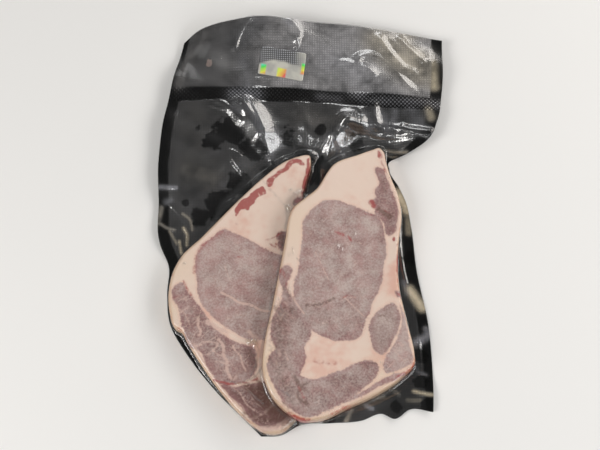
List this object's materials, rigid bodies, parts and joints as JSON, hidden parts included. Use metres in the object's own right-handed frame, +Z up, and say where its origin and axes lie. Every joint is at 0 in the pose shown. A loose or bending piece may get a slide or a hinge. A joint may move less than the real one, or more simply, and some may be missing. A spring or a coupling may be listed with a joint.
{
  "type": "vacuum-packed raw ribeye steak",
  "caption": "Clear-fronted black vacuum pouch drawn tight over overlapping raw ribeye steaks, with an unfilled wavy header above its seal band and a plain foil label.",
  "frame": {"origin": "under the middle of the pack's bounding box, on the surface it lies on", "axes": "+X across the bag, +Y along the bag towards its unfilled header, +Z up out of the clear side"},
  "size_m": [0.2383, 0.3482, 0.029],
  "materials": {
    "film": "glossy embossed nylon and polyethylene vacuum film, black back ply and clear front ply",
    "meat": "raw beef, moist and slightly frosted under the film: grey-pink lean, cream fat",
    "foil": "silver foil sticker with faint rainbow streaks, unprinted"
  },
  "bodies": {
    "root": {"pouch": "film", "steak_left": "meat", "steak_right": "meat", "label": "foil"}
  },
  "joints": []
}
